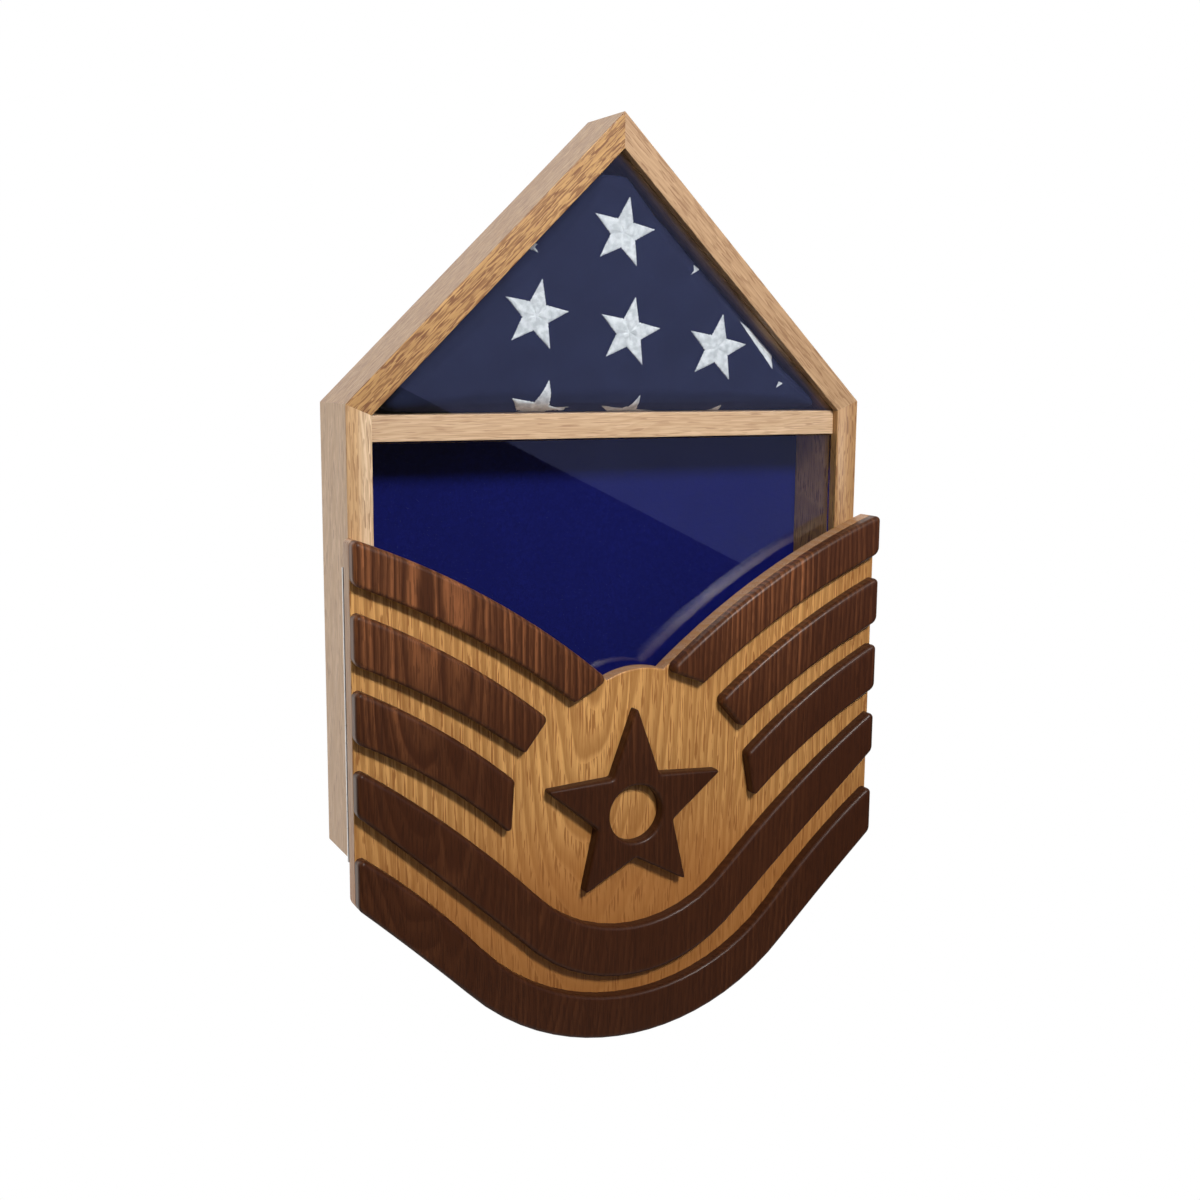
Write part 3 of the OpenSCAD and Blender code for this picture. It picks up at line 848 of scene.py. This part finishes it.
def make_flag(material):
    """The folded flag: a closed form of cloth, puffed and then baked into its mesh."""
    front, back = FLAG_FRONT + 1.2 * MM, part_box("folded_flag")[1].y - 1.5 * MM
    piece = stand_in("folded_flag", flag_form(front, back), material, "cloth")
    piece.modifiers.clear()
    remesh = piece.modifiers.new("even_mesh", "REMESH")
    remesh.mode = "VOXEL"
    remesh.voxel_size = FLAG_MESH
    swap_mesh(piece, baked(piece))
    start = [v.co.copy() for v in piece.data.vertices]
    mesh = puffed(piece)
    hold(mesh, start, back + 1 * MM)
    swap_mesh(piece, mesh)
    smooth = piece.modifiers.new("smooth", "SUBSURF")
    smooth.levels = smooth.render_levels = 1
    swap_mesh(piece, baked(piece))
    for face in piece.data.polygons:
        face.use_smooth = True
    return piece


class Drape:
    """Puts points of the flag's flat pattern on its simulated surface."""

    RIM = 1.5 * MM  # nearer to the outline than this, a point lies on the folded edge

    def __init__(self, piece):
        points = [v.co for v in piece.data.vertices]
        self.tree = BVHTree.FromPolygons(points, [f.vertices for f in piece.data.polygons])
        corners = flag_corners()
        self.sides = [(a, (b - a).normalized()) for a, b in zip(corners, corners[1:] + corners[:1])]

    def depth(self, p):
        """How far inside the outline a point is, and the way in from the nearest side."""
        found = []
        for a, way in self.sides:
            into = Vector((-way.y, way.x))
            found.append(((p - a).dot(into), into))
        return min(found, key=lambda f: f[0])

    def place(self, p, lift):
        """Where a point of the pattern lies, lifted off the cloth by less towards the folds."""
        depth, into = self.depth(p)
        if depth >= self.RIM:
            outside = Vector((p.x, -0.2, p.y))
            spot, normal, _, _ = self.tree.ray_cast(outside, Vector((0, 1, 0)))
            if spot is not None:
                normal = normal if normal.y < 0 else -normal
                return spot + normal * lift * min(1, 0.2 + depth / (5 * MM))
        on_rim = p + into * (self.RIM - depth)
        beside = Vector((on_rim.x, FLAG_FRONT + FLAG_FOLD - min(depth, 0), on_rim.y))
        spot, normal, _, _ = self.tree.find_nearest(beside)
        return spot + normal * lift * 0.2


def make_stars(drape, material):
    """Embroidered stars on the flag, which bend back with the cloth at its edges."""
    bm = bmesh.new()
    lay = bm.loops.layers.uv.new("stitch")
    for right, down in STAR_PLACES:
        centre = STAR_MIDDLE + right * STAR_RIGHT + down * STAR_DOWN
        add_star(bm, lay, drape, centre, right * 3 + down * 5)
    for k, corners in enumerate(STAR_TIPS):
        add_tip(bm, lay, drape, [Vector(p) * MM for p in corners], k)
    bmesh.ops.recalc_face_normals(bm, faces=bm.faces)
    add_piece("flag_stars", bm, BODY_OF["folded_flag"], material, sharp=70)


def add_tip(bm, lay, drape, corners, seed):
    """A bit of a star with its own outline."""
    middle = sum(corners, Vector((0, 0))) / len(corners)
    edge = []
    for p, q in zip(corners, corners[1:] + corners[:1]):
        count = max(2, round((q - p).length / (1.5 * MM)))
        edge += [p.lerp(q, k / count) for k in range(count)]
    rings = []
    for share, lift in ((0.3, 0.6), (0.6, 0.6), (0.85, 0.55), (1.0, -0.3)):
        spots = [middle.lerp(p, share) for p in edge]
        rings.append([(bm.verts.new(drape.place(p, lift * MM)), p) for p in spots])
    centre = (bm.verts.new(drape.place(middle, 0.6 * MM)), middle)
    for i in range(len(edge)):
        j = (i + 1) % len(edge)
        quads = [(a[i], b[i], b[j], a[j]) for a, b in zip(rings, rings[1:])]
        for corner in [(centre, rings[0][i], rings[0][j])] + quads:
            face = bm.faces.new([v for v, _ in corner])
            for loop, (_, p) in zip(face.loops, corner):
                loop[lay].uv = (p.x / MM, (p.y - middle.y) / MM + seed)


def add_star(bm, lay, drape, centre, seed):
    """One star: rings from its centre to its zigzag outline, with grooves between the arms."""
    edge = []  # each point of the outline, its place from ridge to groove, and its side's number
    for k in range(10):
        ends = []
        for m in (k, k + 1):
            angle = STAR_TURN + math.pi / 5 * m
            way = Vector((math.cos(angle), math.sin(angle)))
            ends.append(way * STAR_RADIUS * (1 if m % 2 == 0 else STAR_NOTCH))
        for s in range(STITCHES):
            t = s / STITCHES
            p = ends[0].lerp(ends[1], t)
            ragged = noise.noise(Vector((p.x * 800, p.y * 800, seed))) * RAGGED * MM
            ragged += (ZIGZAG if s % 2 else -ZIGZAG) * MM
            edge.append((p + p.normalized() * ragged, t if k % 2 == 0 else 1 - t, k))

    def place(share, p, off_ridge):
        """Raised in the arms, lower in the grooves between them, and sunk at the outline."""
        inside = 1 - share
        groove = 0.55 * max(0.0, off_ridge - 0.72) / 0.28 * min(1, 5 * inside)
        lift = -0.3 if share == 1.0 else 0.45 + 0.5 * min(1, 7 * inside) - groove
        return bm.verts.new(drape.place(centre + p * share, lift * MM))

    def stitched(verts, spots, k):
        """A face with its threads along the arm that it belongs to."""
        face = bm.faces.new(verts)
        angle = STAR_TURN + math.pi / 5 * (k if k % 2 == 0 else k + 1)
        way = Vector((math.cos(angle), math.sin(angle)))
        for loop, spot in zip(face.loops, spots):
            loop[lay].uv = (spot.dot(way) / MM, (spot.x * way.y - spot.y * way.x) / MM)

    rings = [[place(share, p, off) for p, off, _ in edge] for share in STAR_RINGS]
    middle = place(0.0, Vector((0, 0)), 1.0)
    for i, (p, _, k) in enumerate(edge):
        j = (i + 1) % len(edge)
        q = edge[j][0]
        first = STAR_RINGS[0]
        stitched((middle, rings[0][i], rings[0][j]), (Vector((0, 0)), p * first, q * first), k)
        for a, (s, t) in enumerate(zip(STAR_RINGS, STAR_RINGS[1:])):
            corners = rings[a][i], rings[a + 1][i], rings[a + 1][j], rings[a][j]
            stitched(corners, (p * s, p * t, q * t, q * s), k)


# ---------------------------------------------------------------- the case

UPRIGHT, LEVEL, LEAN = 0.0, math.pi / 2, math.pi / 2 - PITCH  # the grain's angles from vertical
FINE = {"edge_grain": True, "gap": 2.8, "figure": 0.3, "pore_size": (1.0, 1.0, 0.09)}
BOARDS = {  # each board's seed, grain, tone and look, whose side tones are painted light and shade
    "roof_board_left": (2.2, LEAN, (0.53, 0.305, 0.105), {
        "porous": 1.0,
        "pore_from": 0.47,
        "pore_size": (1.3, 1.3, 0.11),
        "sparse": 0.75,
        "gap": 2.0,
        # painted shade: side faces darker than the front
        "rim": (0.41, 0.265, 0.135),
    }),
    "roof_board_right": (3.4, -LEAN, (0.54, 0.355, 0.20), {
        "porous": 0.6,
        "sparse": 0.6,
        # painted shade: side faces a little darker than the front
        "rim": (0.5, 0.31, 0.17),
    }),
    "side_board_left": (4.6, UPRIGHT, (0.64, 0.415, 0.21), {
        "sapwood": (-209.0, -203.0, 0.8),
        # painted shade towards the lower end, and painted light on the side faces
        "painted_shade_below": (-60.0, -290.0, 0.4),
        "rim": (0.62, 0.41, 0.235),
    }),
    "side_board_right": (5.1, UPRIGHT, (0.48, 0.28, 0.118), {
        "porous": 0.8,
        # painted light on the side faces, the inner one too, which lies in shade
        "rim": (0.80, 0.48, 0.19),
    }),
    "bottom_board": (6.3, LEVEL, (0.6, 0.4, 0.23), {}),
    "shelf": (7.9, LEVEL, (0.69, 0.50, 0.325), {
        "porous": 0.5,
        "gap": 2.3,
        "pore_size": (1.0, 1.0, 0.05),
    }),
}
PANEL_LOOK = {
    "strip": 96.0,
    "strips": 0.35,
    "arch_at": -26.0,
    "level": 220.0,
    "tilt": -0.16,
    "depth": 26.0,
    "sway": 18.0,
    "gap": 7.0,
    "figure": 0.75,
    "fibres": 0.3,
    "pore_size": (1.0, 1.0, 0.06),
    "porous": 0.8,
    # painted light on the side faces, and painted shade towards the bottom, partly darker wood
    "rim": (0.42, 0.29, 0.2),
    "painted_shade_below": (-240.0, -345.0, 0.8),
    "painted_shade_tone": (0.37, 0.145, 0.035),
    "shine": 0.3,
}
RAIL_TONE = (0.58, 0.36, 0.19)
RAILS = {"pane_rail_left": UPRIGHT, "pane_rail_right": UPRIGHT, "pane_rail_bottom": LEVEL}
BARS = [f"bar_{k}_{side}" for k in (1, 2, 3) for side in ("left", "right")] + ["bar_4", "bar_5"]


def make_oak():
    """The case's boards, the door's panel and the rails that hold the lower pane."""
    for node, (seed, lean, tone, look) in BOARDS.items():
        eased_board(node, oak(f"oak_{node}", seed, lean, tone, **(FINE | look)))
    panel_oak = oak("oak_panel", 0.0, UPRIGHT, (0.71, 0.385, 0.128), 0.46, **PANEL_LOOK)
    eased_board("door_panel", panel_oak, 1.2 * MM, 0.5 * MM)
    for node, lean in RAILS.items():
        eased_board(node, oak(f"oak_{node}", 9.7, lean, RAIL_TONE), 0.5 * MM, 10 * MM)


def make_walnut():
    """The bars and the star on the door."""
    bar_walnut, star_walnut = walnut("walnut_bars", 0.0, 1.6), walnut("walnut_star", 2.3, 1.35)
    for node in BARS:
        rounded_slab(node, bar_walnut, 3.8 * MM)
    rounded_slab("star", star_walnut, 3.4 * MM)


def dress_the_rest():
    """Materials for the CAD nodes that are shown as they are."""
    glass = acrylic("acrylic")
    plain = {
        "upper_pane": glass,
        "lower_pane": glass,
        "back_panel": hardboard("hardboard"),
        "felt_lining": felt("felt"),
        "wall_bumpers": rubber("rubber"),
        "catch_magnets": metal("nickel", (0.62, 0.61, 0.58), 0.22),
    }
    plated = {
        "steel": metal("zinc_plate", (0.55, 0.56, 0.58), 0.3),
        "brass": metal("brass_plate", (0.70, 0.52, 0.25), 0.28),
    }
    plain |= {node: plated[slot] for node, slot in SLOT_OF.items() if slot in plated}
    for node, material in plain.items():
        dress(node, material)


make_camera()
make_world()
make_stage()
make_lamps()
make_oak()
make_walnut()
flag_piece = make_flag(flag_cloth("flag_cloth"))
make_stars(Drape(flag_piece), embroidery("embroidery"))
dress_the_rest()
bpy.context.scene.view_settings.view_transform = "Standard"
